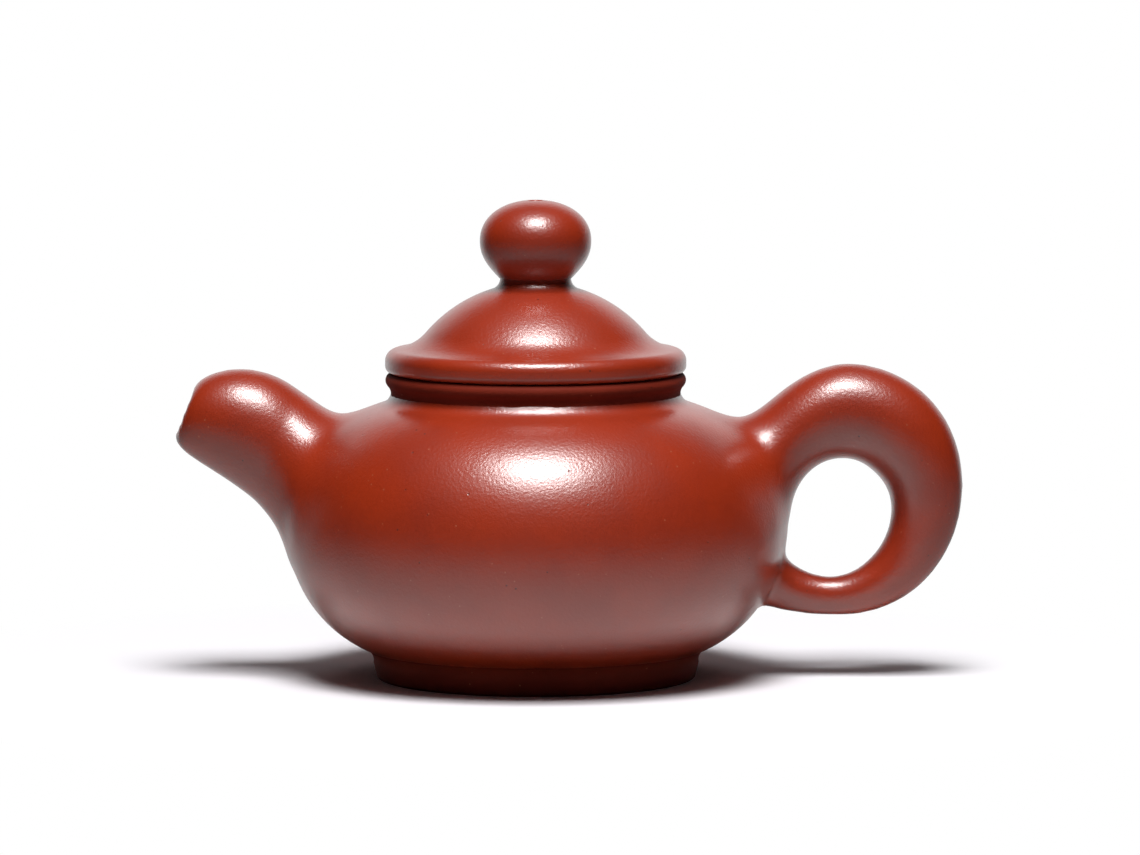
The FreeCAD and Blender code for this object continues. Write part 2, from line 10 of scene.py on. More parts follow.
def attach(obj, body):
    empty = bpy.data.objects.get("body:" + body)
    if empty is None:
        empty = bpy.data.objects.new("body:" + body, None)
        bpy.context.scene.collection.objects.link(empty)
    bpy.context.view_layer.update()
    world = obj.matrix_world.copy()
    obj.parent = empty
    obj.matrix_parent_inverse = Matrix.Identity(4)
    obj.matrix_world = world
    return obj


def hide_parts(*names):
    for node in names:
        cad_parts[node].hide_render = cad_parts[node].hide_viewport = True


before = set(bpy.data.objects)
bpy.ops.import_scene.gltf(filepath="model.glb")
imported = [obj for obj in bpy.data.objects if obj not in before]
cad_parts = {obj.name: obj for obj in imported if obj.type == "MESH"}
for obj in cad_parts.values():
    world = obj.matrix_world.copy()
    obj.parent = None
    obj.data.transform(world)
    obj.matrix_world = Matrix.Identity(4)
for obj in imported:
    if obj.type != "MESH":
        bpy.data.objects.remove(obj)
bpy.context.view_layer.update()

bl_info = {
    "name": "Clay teapot",
    "version": (1, 0, 0),
    "blender": (4, 5, 0),
    "location": "3D View > Sidebar > Teapot",
    "description": "Models a small teapot of red clay on a white table",
    "category": "Object",
}

MM = 0.001
# Steps round a turned piece and round a rolled one
TURN_STEPS = 160
ROLL_STEPS = 48
# Points that are nearer to each other are one point
MERGE_DISTANCE = 0.001 * MM
# Mesh width of the pot's skin, and steps in which a filled joint settles
SKIN_MESH = 0.68 * MM
FILL_STEPS = 7
# Edges that are sharper stay sharp
SHARP_ANGLE = math.radians(50)
# The pale room behind the pot, as the clay mirrors it: where it begins, where it is full, how bright
BEHIND_START = 0.55
BEHIND_FULL = 0.92
BEHIND_LIGHT = 0.75


def length(name, millimetres, description):
    """A length that the user can change, given in millimetres."""
    return FloatProperty(
        name=name, description=description, default=millimetres * MM, unit="LENGTH", precision=4
    )


def angle(name, degrees, description):
    return FloatProperty(
        name=name, description=description, default=math.radians(degrees), subtype="ANGLE"
    )


def amount(name, value, description):
    return FloatProperty(name=name, description=description, default=value)


def linear(hex_colour):
    """Linear colour of an sRGB hex value such as 8C3A26."""
    channels = []
    for start in (0, 2, 4):
        value = int(hex_colour[start:start + 2], 16) / 255
        channels.append(value / 12.92 if value <= 0.04045 else ((value + 0.055) / 1.055) ** 2.4)
    return channels


def colour(name, hex_colour, description):
    return FloatVectorProperty(
        name=name, description=description, default=linear(hex_colour), subtype="COLOR", min=0, max=1
    )


class BellySizes(bpy.types.PropertyGroup):
    """Sizes of the belly, its foot and its neck."""

    width: length("Width", 80.0, "Widest width of the belly")
    arc: length("Side", 21.0, "Radius of the belly's rounded side, seen in section")
    wall: length("Wall", 3.0, "Thickness of the clay wall")
    lift: length("Lift", 3.0, "Height of the belly's lowest point over the table")
    base: length("Base", 20.5, "Radius of the flat base")
    mouth: length("Mouth", 20.6, "Radius of the opening under the lid")
    shoulder: length("Shoulder", 24.2, "Radius at which the belly ends under the neck")
    foot: length("Foot", 25.75, "Outer radius of the foot ring on the table")
    foot_inside: length("Foot inside", 22.0, "Inner radius of the foot ring")
    foot_sweep: length("Foot sweep", 2.2, "Hollow curve from the foot into the belly")
    foot_taper: angle("Foot taper", 9.0, "Inward lean of the foot towards the table")
    neck: length("Neck", 4.9, "Height of the neck over the shoulder")
    waist: length("Waist", 23.25, "Smallest outer radius of the neck")
    hollow: length("Hollow", 1.7, "Radius of the hollow from the shoulder to the waist")
    bead: length("Bead", 24.15, "Outer radius of the neck's bead")
    bead_arc: length("Bead rounding", 1.2, "Rounding of the neck's bead")
    under_bead: length("Under the bead", 1.79, "Radius of the hollow between waist and bead")


class SpoutSizes(bpy.types.PropertyGroup):
    """Sizes of the spout."""

    reach: length("Reach", 16.4, "Reach of the spout's mouth beyond the belly")
    rise: length("Rise", 19.15, "Height of the spout's mouth over the belly's middle")
    elbow_out: length("Elbow reach", 2.45, "Place of the spout's bend beyond the belly")
    elbow_rise: length("Elbow rise", 18.21, "Height of the spout's bend over the belly's middle")
    root_inset: length("Root inset", 5.18, "Depth of the spout's root inside the belly")
    root_rise: length("Root rise", 5.38, "Height of the spout's root over the belly's middle")
    tip: length("Mouth", 7.9, "Height of the spout's section at the mouth")
    bulb: length("Bulb", 19.12, "Height of the spout's section behind its rounded nose")
    root: length("Root", 21.55, "Height of the spout's section at the root")
    root_width: length("Root width", 24.0, "Width of the spout's section at the root")
    bore_tip: length("Passage at the mouth", 5.2, "Passage at the spout's mouth")
    bore_root: length("Passage at the root", 12.0, "Passage at the spout's root")
    roundness: amount("Roundness", 0.95, "Width of the section against its height")
    tilt: angle("Tilt", 21.91, "Backward lean of the spout's mouth")
    fairing: length("Fairing", 8.6, "Reach of the hollow curve from the spout up to the shoulder")
    under_fairing: length("Under fairing", 4.0, "Reach of that curve under the spout")
    side_fairing: length("Side fairing", 10.5, "Reach of that curve at the spout's sides")


class HandleSizes(bpy.types.PropertyGroup):
    """Sizes of the handle."""

    crown_out: length("Crown reach", 9.8, "Place of the crown beyond the belly")
    crown_rise: length("Crown rise", 18.98, "Height of the crown's middle over the belly's middle")
    bend_out: length("Upper bend", 0.72, "Place beyond the belly of the bend to the upper end")
    bow_out: length("Bow reach", 22.8, "Reach of the handle's middle line beyond the belly")
    bow_rise: length("Bow rise", 4.84, "Height of the farthest point over the belly's middle")
    under_out: length("Under reach", 7.83, "Place of the lowest point beyond the belly")
    under_drop: length("Under drop", 10.94, "Depth of that point under the belly's middle")
    tail_bend_out: length("Lower bend", 1.22, "Place beyond the belly of the bend to the lower end")
    root_inset: length("Root inset", 9.07, "Depth of the upper end inside the belly")
    root_rise: length("Root rise", 2.16, "Height of the upper end over the belly's middle")
    tail_inset: length("Tail inset", 3.48, "Depth of the lower end inside the belly")
    tail_drop: length("Tail drop", 6.95, "Depth of the lower end under the belly's middle")
    root: length("Root", 12.17, "Thickness at the upper end")
    root_width: length("Root width", 15.5, "Width at the upper end")
    crown: length("Crown", 15.36, "Thickness at the crown")
    shoulder: length("Shoulder", 14.68, "Thickness between crown and side")
    side: length("Side", 11.6, "Thickness at the side")
    haunch: length("Haunch", 9.02, "Thickness between side and underside")
    under: length("Under", 6.29, "Thickness at the lowest point")
    tail: length("Tail", 10.29, "Thickness at the lower end")
    roundness: amount("Roundness", 0.95, "Width of the section against its thickness")
    root_lean: angle("Root lean", 33.3, "Lean of the section at the upper end")
    tail_lean: angle("Tail lean", 20.3, "Lean of the section at the lower end")
    fairing: length("Fairing", 10.5, "Reach of the hollow curve from the upper end into the belly")
    side_fairing: length("Side fairing", 13.0, "Reach of that curve at the handle's sides")
    tail_fairing: length("Tail fairing", 1.6, "Reach of that curve at the lower end")


class LidSizes(bpy.types.PropertyGroup):
    """Sizes of the lid and its knob."""

    brim: length("Brim", 24.2, "Outer radius of the brim")
    brim_height: length("Brim height", 3.8, "Height of the brim")
    top_round: length("Brim top", 1.9, "Rounding of the brim's upper edge")
    low_round: length("Brim underside", 1.1, "Rounding of the brim's lower edge")
    brim_sweep: length("Brim sweep", 7.5, "Hollow curve from the brim into the dome")
    dome: length("Dome", 23.3, "Radius of the dome")
    dome_height: length("Dome height", 14.5, "Height of the dome over the neck")
    wall: length("Wall", 3.0, "Thickness of the dome")
    gap: length("Gap", 0.35, "Play between the flange and the mouth")
    flange_wall: length("Flange", 2.0, "Thickness of the flange")
    flange_depth: length("Flange depth", 7.0, "Depth of the flange")
    flange_edge: length("Flange edge", 0.7, "Rounding of the flange's lower edges")
    knob: length("Knob", 8.95, "Outer radius of the knob")
    knob_rise: length("Knob rise", 6.6, "Height of the knob over its widest place")
    knob_drop: length("Knob drop", 5.96, "Depth of the knob under its widest place")
    knob_foot: length("Knob foot", 5.8, "Radius of the knob's underside")
    fullness: amount("Fullness", 2.15, "Roundness of the knob's top: 2 is an ellipse, more is fuller")
    seat: length("Seat", 5.7, "Radius of the knob's seat on the dome")
    seat_sweep: length("Seat sweep", 1.8, "Hollow curve from the seat into the dome")
    air_hole: length("Air hole", 1.1, "Radius of the air hole")
    air_edge: length("Air hole edge", 0.4, "Rounding of the air hole's upper edge")
    air_funnel: length("Air funnel", 2.4, "Radius of the air hole's funnel under the lid")
    funnel_depth: length("Funnel depth", 1.4, "Depth of that funnel")


class ClayLook(bpy.types.PropertyGroup):
    """Colours and finish of the clay."""

    body: colour("Clay", "9C2D0E", "Colour of the fired clay")
    deep: colour("Dark clay", "8E260B", "Darker clouds in the clay")
    # The raw colours are darker than the clay: painted shade for the foot under the belly and the neck
    # under the lid's brim
    raw_body_painted_shade: colour("Raw clay", "74200D", "Colour of unburnished clay")
    raw_deep_painted_shade: colour("Dark raw clay", "691B0A", "Darker clouds in unburnished clay")
    speck: colour("Light specks", "B4694E", "Grains of paler sand")
    pit: colour("Pits", "3C120A", "Small dark pits")
    roughness: amount("Roughness", 0.35, "Roughness of the burnished skin")
    shine: amount("Shine", 1.75, "Refractive index of the clay")
    raw_roughness: amount("Raw roughness", 0.75, "Roughness of unburnished clay")
    raw_shine: amount("Raw shine", 1.3, "Refractive index of unburnished clay")
    polish: amount("Polish", 1.0, "Share of the polished skin over the clay")
    polish_roughness: amount("Polish roughness", 0.26, "Roughness of the polished skin")


class StageLook(bpy.types.PropertyGroup):
    """The table, the light and the camera."""

    table: colour("Table", "E0DEE2", "Colour of the table")
    key: FloatProperty(
        name="Key lamp", description="Power of the soft box in front", default=12.8, unit="POWER"
    )
    room: amount("Room light", 0.03, "Strength of the light from all round")
    lens: FloatProperty(name="Lens", description="Focal length in millimetres", default=228.9)
    distance: length("Distance", 1160.0, "Distance of the camera from the pot's axis")
    height: length("Height", 152.0, "Height of the camera over the table")
    aside: length("Aside", 5.5, "Sideways place of the camera")
    dip: angle("Dip", 5.5, "Downward lean of the camera")
    roll: angle("Roll", -0.05, "Roll of the camera about its own line of sight")


class TeapotSettings(bpy.types.PropertyGroup):
    """All sizes and colours of the teapot."""

    belly: PointerProperty(type=BellySizes)
    spout: PointerProperty(type=SpoutSizes)
    handle: PointerProperty(type=HandleSizes)
    lid: PointerProperty(type=LidSizes)
    clay: PointerProperty(type=ClayLook)
    stage: PointerProperty(type=StageLook)


def across(longest, side):
    """The other side of a right-angled triangle."""
    return math.sqrt(longest * longest - side * side)


def arc_points(middle, radius, start, end, count):
    """Points on an arc about a middle (radius, height), with angles from the outward direction."""
    points = []
    for step in range(count + 1):
        turn = math.radians(start + (end - start) * step / count)
        points.append((middle[0] + radius * math.cos(turn), middle[1] + radius * math.sin(turn)))
    return points


def rising(middle, point):
    """Angle in degrees of a point seen from a middle."""
    return math.degrees(math.atan2(point[1] - middle[1], point[0] - middle[0]))


def name_piece(name):
    piece = bpy.context.active_object
    piece.name = name
    piece.data.name = name
    return piece


def only_select(piece):
    bpy.ops.object.select_all(action="DESELECT")
    piece.select_set(True)
    bpy.context.view_layer.objects.active = piece


def turned_piece(name, outline):
    """A piece turned about the pot's axis from an outline of radii and heights."""
    bpy.ops.object.select_all(action="DESELECT")
    bpy.ops.mesh.primitive_plane_add(size=MM)
    piece = name_piece(name)
    bpy.ops.object.mode_set(mode="EDIT")
    bpy.ops.mesh.select_all(action="SELECT")
    bpy.ops.mesh.merge(type="CENTER")
    place = Vector((0, 0, 0))
    for number, (radius, height) in enumerate(outline):
        target = Vector((radius, 0, height))
        if number:
            bpy.ops.mesh.extrude_vertices_move(TRANSFORM_OT_translate={"value": target - place})
        else:
            bpy.ops.transform.translate(value=target)
        place = target
    bpy.ops.mesh.select_all(action="SELECT")
    bpy.ops.mesh.spin(steps=TURN_STEPS, angle=2 * math.pi, center=(0, 0, 0), axis=(0, 0, 1))
    bpy.ops.mesh.select_all(action="SELECT")
    bpy.ops.mesh.remove_doubles(threshold=MERGE_DISTANCE)
    bpy.ops.mesh.normals_make_consistent(inside=False)
    bpy.ops.object.mode_set(mode="OBJECT")
    return piece


def rolled_piece(name, stations):
    """A roll of clay drawn through stations of (x, z, lean, thickness, width), closed at both ends."""
    bpy.ops.object.select_all(action="DESELECT")
    x, z, lean, thick, wide = stations[0]
    bpy.ops.mesh.primitive_circle_add(
        vertices=ROLL_STEPS, radius=thick / 2, location=(x, 0, z), rotation=(0, -lean, 0)
    )
    piece = name_piece(name)
    bpy.ops.object.transform_apply(location=True, rotation=True, scale=True)
    bpy.ops.object.mode_set(mode="EDIT")
    bpy.ops.mesh.select_all(action="SELECT")
    bpy.ops.transform.resize(value=(1, wide / thick, 1), center_override=(x, 0, z))
    bpy.ops.mesh.edge_face_add()
    for next_x, next_z, next_lean, next_thick, next_wide in stations[1:]:
        middle = (next_x, 0, next_z)
        bpy.ops.mesh.extrude_region_move(
            TRANSFORM_OT_translate={"value": (next_x - x, 0, next_z - z)}
        )
        bpy.ops.transform.rotate(value=next_lean - lean, orient_axis="Y", center_override=middle)
        taller = next_thick / thick
        wider = next_wide / wide
        bpy.ops.transform.resize(value=(taller, wider, taller), center_override=middle)
        x, z, lean, thick, wide = next_x, next_z, next_lean, next_thick, next_wide
    bpy.ops.mesh.select_all(action="SELECT")
    bpy.ops.mesh.normals_make_consistent(inside=False)
    bpy.ops.object.mode_set(mode="OBJECT")
    return piece


def finish_with(piece, kind, **settings):
    """Adds a modifier to the piece and applies it."""
    only_select(piece)
    bpy.ops.object.modifier_add(type=kind)
    modifier = piece.modifiers[-1]
    for key, value in settings.items():
        setattr(modifier, key, value)
    bpy.ops.object.modifier_apply(modifier=modifier.name)


def combine(piece, tool, operation):
    """Joins a tool shape to the piece or cuts it out, and removes the tool."""
    finish_with(piece, "BOOLEAN", object=tool, operation=operation, solver="EXACT")
    only_select(tool)
    bpy.ops.object.delete()


def curve(first, bend, last, share):
    return first * (1 - share) ** 2 + bend * 2 * share * (1 - share) + last * share ** 2


def blend(first, last, share):
    return first + (last - first) * share


def side_middle(belly):
    """Middle, as radius and height, of the arc of the belly's side."""
    return belly.width / 2 - belly.arc, belly.lift + belly.arc


def spout_place(sizes, belly, share):
    """Middle of the spout's section at a share of the way from its mouth to its root."""
    edge = belly.width / 2
    middle = side_middle(belly)[1]
    x = curve(-edge - sizes.reach, -edge - sizes.elbow_out, -edge + sizes.root_inset, share)
    z = middle + curve(sizes.rise, sizes.elbow_rise, sizes.root_rise, share)
    return x, z


def spout_stations(sizes, belly):
    """The spout from its small mouth over the round nose to the root in the wall."""
    nose_share = 0.61
    nose_rings = 22
    root_rings = 6
    sunk = 6 * MM
    sunk_share = 0.7
    lean = math.pi / 2 - sizes.tilt
    stations = []
    for step in range(nose_rings + 1):
        turn = math.pi / 2 * step / nose_rings
        share = nose_share * (1 - math.cos(turn))
        thick = blend(sizes.tip, sizes.bulb, math.sin(turn))
        stations.append((*spout_place(sizes, belly, share), lean, thick, thick * sizes.roundness))
    for step in range(1, root_rings + 1):
        part = step / root_rings
        share = blend(nose_share, 1.0, part)
        thick = blend(sizes.bulb, sizes.root, part)
        wide = blend(sizes.bulb * sizes.roundness, sizes.root_width, part)
        stations.append((*spout_place(sizes, belly, share), lean, thick, wide))
    x, z = spout_place(sizes, belly, 1.0)
    stations.append((x + sunk, z, lean, sizes.root * sunk_share, sizes.root_width * sunk_share))
    return stations


def bore_stations(sizes, belly):
    """The passage through the spout, from outside its mouth into the chamber."""
    start = -0.12
    end = 1.15
    rings = 16
    lean = math.pi / 2 - sizes.tilt
    stations = []
    for step in range(rings + 1):
        share = blend(start, end, step / rings)
        fullness = min(math.sqrt(max(share, 0.0)), 1.0)
        thick = blend(sizes.bore_tip, sizes.bore_root, fullness)
        stations.append((*spout_place(sizes, belly, share), lean, thick, thick * sizes.roundness))
    return stations


def eased(values, place):
    """Value on a smooth line through evenly spaced values."""
    last = len(values) - 1
    index = min(int(place), last - 1)
    t = place - index
    before = values[max(index - 1, 0)]
    first = values[index]
    second = values[index + 1]
    after = values[min(index + 2, last)]
    slope_in = (second - before) / 2
    slope_out = (after - first) / 2
    rise = second - first
    return first + t * slope_in + t * t * (3 * rise - 2 * slope_in - slope_out) + t ** 3 * (
        slope_in + slope_out - 2 * rise
    )


def handle_stations(sizes, belly):
    """The handle from its upper end over the crown and round the bow to its lower end."""
    edge = belly.width / 2
    middle = side_middle(belly)[1]
    crown_x = edge + sizes.crown_out
    crown_z = middle + sizes.crown_rise
    bow_x = edge + sizes.bow_out
    bow_z = middle + sizes.bow_rise
    under_x = edge + sizes.under_out
    under_z = middle - sizes.under_drop
    root_rings = 14
    bow_rings = 40
    tail_rings = 8
    line = []
    for step in range(root_rings):
        share = 1 - step / root_rings
        line.append((
            curve(crown_x, edge + sizes.bend_out, edge - sizes.root_inset, share),
            curve(crown_z, crown_z, middle + sizes.root_rise, share),
            math.pi / 2 + sizes.root_lean * share,
            blend(sizes.crown, sizes.root, share),
            blend(sizes.crown * sizes.roundness, sizes.root_width, share),
        ))
    thicks = [sizes.crown, sizes.shoulder, sizes.side, sizes.haunch, sizes.under]
    for step in range(bow_rings + 1):
        share = step / bow_rings
        lean = math.pi / 2 - math.pi * share
        start_x = crown_x if lean > 0 else under_x
        rise = crown_z - bow_z if lean > 0 else bow_z - under_z
        thick = eased(thicks, (len(thicks) - 1) * share)
        line.append((
            start_x + (bow_x - start_x) * math.cos(lean),
            bow_z + rise * math.sin(lean),
            lean,
            thick,
            thick * sizes.roundness,
        ))
    for step in range(1, tail_rings + 1):
        share = step / tail_rings
        thick = blend(sizes.under, sizes.tail, share * share)
        line.append((
            curve(under_x, edge + sizes.tail_bend_out, edge - sizes.tail_inset, share),
            curve(under_z, under_z, middle - sizes.tail_drop, share),
            -math.pi / 2 - sizes.tail_lean * share,
            thick,
            thick * sizes.roundness,
        ))
    return line


def surface_tree(piece):
    return BVHTree.FromPolygons(
        [vertex.co.copy() for vertex in piece.data.vertices],
        [tuple(face.vertices) for face in piece.data.polygons],
    )


def between(value, start, end):
    """Share of the way from a start to an end, with a slow beginning and a slow end."""
    share = min(max((value - start) / (end - start), 0.0), 1.0)
    return share * share * (3 - 2 * share)


def outward(tree, spot):
    """Distance of a spot outside a surface, below zero inside it, and the way out."""
    place, normal, face, distance = tree.find_nearest(spot)
    if distance < MERGE_DISTANCE:
        return 0.0, normal
    away = (spot - place) / distance
    if away.dot(normal) < 0:
        touching = tree.find_nearest_range(place, MERGE_DISTANCE)
        if all(away.dot(found[1]) < 0 for found in touching):
            return -distance, -away
    return distance, away


def fill_joint(piece, trees, reach, inside):
    """Fills the corner where two surfaces meet with a smooth hollow that runs out at a reach."""
    for vertex in piece.data.vertices:
        spot = vertex.co.copy()
        if not inside(spot):
            continue
        for turn in range(FILL_STEPS):
            (near, near_way), (far, far_way) = sorted(
                (outward(tree, spot) for tree in trees), key=lambda pair: pair[0]
            )
            share = 1 - (far - near) / reach(spot)
            if share <= 0 or near < -MM:
                break
            height = near - share ** 3 * reach(spot) / 6
            way = near_way.lerp(far_way, share * share / 2)
            step = height / max(way.length_squared, 0.2)
            spot -= way * min(max(step, -MM), MM)
        vertex.co = spot


def belly_height(belly, radius, arc):
    """Height over the belly's middle at which an arc of its side has a radius."""
    return across(arc, radius - side_middle(belly)[0])


def shoulder_height(belly):
    return side_middle(belly)[1] + belly_height(belly, belly.shoulder, belly.arc)


def rim_height(belly):
    return shoulder_height(belly) + belly.neck


def hollow_middle(belly):
    """Middle, as radius and height, of the hollow curve from the shoulder to the neck's waist."""
    ring, middle = side_middle(belly)
    radius = belly.waist + belly.hollow
    return radius, middle + across(belly.arc + belly.hollow, radius - ring)


def finish_piece(piece, body, *nodes, burnished=True):
    """Smooths the shading, gives the clay and takes the place of the plain nodes."""
    only_select(piece)
    bpy.ops.object.transform_apply(location=True, rotation=True, scale=True)
    bpy.ops.object.shade_smooth_by_angle(angle=SHARP_ANGLE)
    piece.data.materials.clear()
    piece.data.materials.append(clay_material(burnished))
    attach(piece, body)
    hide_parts(*nodes)


def add_node(tree, kind, links=None, **settings):
    """Adds a node, sets its values or options and links its inputs."""
    node = tree.nodes.new(kind)
    for key, value in settings.items():
        if key in node.inputs:
            node.inputs[key].default_value = value
        else:
            setattr(node, key, value)
    for key, source in (links or {}).items():
        tree.links.new(source, node.inputs[key])
    return node


def ramp(tree, source, start, end, low=0.0, high=1.0):
    """Goes over from a low to a high value while the source runs from a start to an end."""
    node = add_node(
        tree, "ShaderNodeMapRange", {"Value": source},
        **{"From Min": start, "From Max": end, "To Min": low, "To Max": high}
    )
    return node.outputs["Result"]


def reckon(tree, operation, *values, **options):
    """Reckons with values that are numbers or links."""
    node = add_node(tree, "ShaderNodeMath", operation=operation, **options)
    for number, value in enumerate(values):
        if isinstance(value, float):
            node.inputs[number].default_value = value
        else:
            tree.links.new(value, node.inputs[number])
    return node.outputs["Value"]


def opaque(rgb):
    return (rgb[0], rgb[1], rgb[2], 1.0)


def clay_material(burnished=True):
    """Zisha clay, beaten, burnished with horn and fired without glaze.

    The eye sees a warm red brown with faint clouds, a satin shine that breaks up into a fine
    grain at its edges, a few paler grains of sand and small dark pits. Where it is left
    unburnished it has no shine, and its colour is darker as painted shade, for the foot under
    the belly and the neck under the lid's brim.
    """
    name = "burnished_red_clay" if burnished else "unburnished_red_clay_painted_shade"
    if name in bpy.data.materials:
        return bpy.data.materials[name]
    look = bpy.context.scene.teapot.clay
    rough = look.roughness if burnished else look.raw_roughness
    material = bpy.data.materials.new(name)
    material.use_nodes = True
    tree = material.node_tree
    tree.nodes.clear()
    place = add_node(tree, "ShaderNodeTexCoord").outputs["Object"]
    # Clouds from uneven firing and handling
    cloud_size = 14 * MM
    clouds = add_node(
        tree, "ShaderNodeTexNoise", {"Vector": place}, Scale=1 / cloud_size, Detail=3.0, Roughness=0.55
    ).outputs["Fac"]
    # Unburnished pieces take the darker raw colours, which are painted shade under the belly and the
    # lid's brim
    clay = add_node(
        tree, "ShaderNodeMix", {"Factor": ramp(tree, clouds, 0.35, 0.68)}, data_type="RGBA",
        A=opaque(look.body if burnished else look.raw_body_painted_shade),
        B=opaque(look.deep if burnished else look.raw_deep_painted_shade)
    )
    # Grit, drawn as coarse as it needs to show
    grit_size = 0.5 * MM
    grit = add_node(
        tree, "ShaderNodeTexNoise", {"Vector": place}, Scale=1 / grit_size, Detail=2.0, Roughness=0.6
    )
    # Grains of sand, each about a quarter of a millimetre wide
    sand_spacing = 2.2 * MM
    sand = add_node(tree, "ShaderNodeTexVoronoi", {"Vector": place}, Scale=1 / sand_spacing)
    sand_near = ramp(tree, sand.outputs["Distance"], 0.045, 0.075, 0.55, 0.0)
    sanded = add_node(
        tree, "ShaderNodeMix", {"Factor": sand_near, "A": clay.outputs["Result"]},
        data_type="RGBA", B=opaque(look.speck)
    )
    pit_spacing = 3.7 * MM
    pits = add_node(tree, "ShaderNodeTexVoronoi", {"Vector": place}, Scale=1 / pit_spacing)
    pit_near = ramp(tree, pits.outputs["Distance"], 0.03, 0.055, 0.8, 0.0)
    pitted = add_node(
        tree, "ShaderNodeMix", {"Factor": pit_near, "A": sanded.outputs["Result"]},
        data_type="RGBA", B=opaque(look.pit)
    )
    # Slow dents from the beating, under the grain
    dent_size = 7 * MM
    dents = add_node(
        tree, "ShaderNodeTexNoise", {"Vector": place}, Scale=1 / dent_size, Detail=1.0
    )
    dent_bump = add_node(
        tree, "ShaderNodeBump", {"Height": dents.outputs["Fac"]}, Strength=1.0, Distance=0.06 * MM
    )
    grain_bump = add_node(
        tree, "ShaderNodeBump",
        {"Height": grit.outputs["Fac"], "Normal": dent_bump.outputs["Normal"]},
        Strength=1.0, Distance=0.05 * MM
    )
    pit_bump = add_node(
        tree, "ShaderNodeBump", {"Height": pit_near, "Normal": grain_bump.outputs["Normal"]},
        Strength=1.0, Distance=0.03 * MM, invert=True
    )
    shader = add_node(
        tree, "ShaderNodeBsdfPrincipled",
        {
            "Base Color": pitted.outputs["Result"],
            "Roughness": ramp(tree, clouds, 0.3, 0.7, rough - 0.03, rough + 0.04),
            "Normal": pit_bump.outputs["Normal"],
            "Coat Normal": pit_bump.outputs["Normal"],
        },
        **{
            "IOR": look.shine if burnished else look.raw_shine,
            "Coat Weight": look.polish if burnished else 0.0,
            "Coat Roughness": look.polish_roughness,
        }
    )
    add_node(tree, "ShaderNodeOutputMaterial", {"Surface": shader.outputs["BSDF"]})
    return material


class TEAPOT_OT_pot(bpy.types.Operator):
    """Belly, spout and handle, faired into one skin of clay"""

    bl_idname = "teapot.pot"
    bl_label = "Pot with spout and handle"

    def execute(self, context):
        settings = context.scene.teapot
        belly = settings.belly
        spout = settings.spout
        handle = settings.handle
        middle = side_middle(belly)[1]
        piece = turned_piece("pot_skin", self.belly_outline(belly))
        chamber = turned_piece("chamber_form", self.chamber_outline(belly))
        spout_roll = rolled_piece("spout_roll", spout_stations(spout, belly))
        handle_roll = rolled_piece("handle_roll", handle_stations(handle, belly))
        bore = rolled_piece("bore_form", bore_stations(spout, belly))
        belly_tree = surface_tree(piece)
        spout_tree = surface_tree(spout_roll)
        handle_tree = surface_tree(handle_roll)
        combine(piece, spout_roll, "UNION")
        combine(piece, handle_roll, "UNION")
        combine(piece, chamber, "DIFFERENCE")
        combine(piece, bore, "DIFFERENCE")
        finish_with(piece, "REMESH", mode="VOXEL", voxel_size=SKIN_MESH)
        finish_with(piece, "SMOOTH", factor=0.5, iterations=4)

        def beside(spot):
            return between(abs(spot.y), 6 * MM, 14 * MM)

        def spout_reach(spot):
            above = between(spot.z, middle + 6 * MM, middle + 14 * MM)
            flank = between(spot.z, middle - 8 * MM, middle + 8 * MM)
            plane_reach = blend(spout.under_fairing, spout.fairing, above)
            side_reach = blend(spout.under_fairing, spout.side_fairing, flank)
            return blend(plane_reach, side_reach, beside(spot))

        def handle_reach(spot):
            above = between(spot.z, middle - 6 * MM, middle + 2 * MM)
            root_reach = blend(handle.fairing, handle.side_fairing, beside(spot))
            return blend(handle.tail_fairing, root_reach, above)

        fill_joint(piece, [belly_tree, spout_tree], spout_reach, lambda spot: spot.x < 0)
        fill_joint(piece, [belly_tree, handle_tree], handle_reach, lambda spot: spot.x > 0)
        finish_with(piece, "SMOOTH", factor=0.5, iterations=10)
        finish_piece(piece, "pot", "body_wall", "base_disc", "top_slab", "spout", "handle")
        return {"FINISHED"}

    def belly_outline(self, belly):
        """The full belly, from its base to the waist of the neck."""
        side = side_middle(belly)
        hollow = hollow_middle(belly)
        base = side[1] - belly_height(belly, belly.base, belly.arc)
        top = hollow[1] + MM
        inset = 0.1 * MM
        start = rising(side, (belly.base, base))
        return [
            (0, base),
            *arc_points(side, belly.arc, start, rising(side, hollow), 60),
            *arc_points(hollow, belly.hollow, rising(hollow, side) + 360, 180, 12)[1:],
            (belly.waist - inset, top),
            (0, top),
        ]

    def chamber_outline(self, belly):
        """The room for the tea, and the mouth over it."""
        side = side_middle(belly)
        inner = belly.arc - belly.wall
        base = side[1] - belly_height(belly, belly.base, inner)
        slab = side[1] + belly_height(belly, belly.shoulder, inner)
        top = shoulder_height(belly) + belly.wall
        start = rising(side, (belly.base, base))
        end = rising(side, (belly.shoulder, slab))
        return [
            (0, base),
            *arc_points(side, inner, start, end, 40),
            (belly.mouth, slab),
            (belly.mouth, top),
            (0, top),
        ]


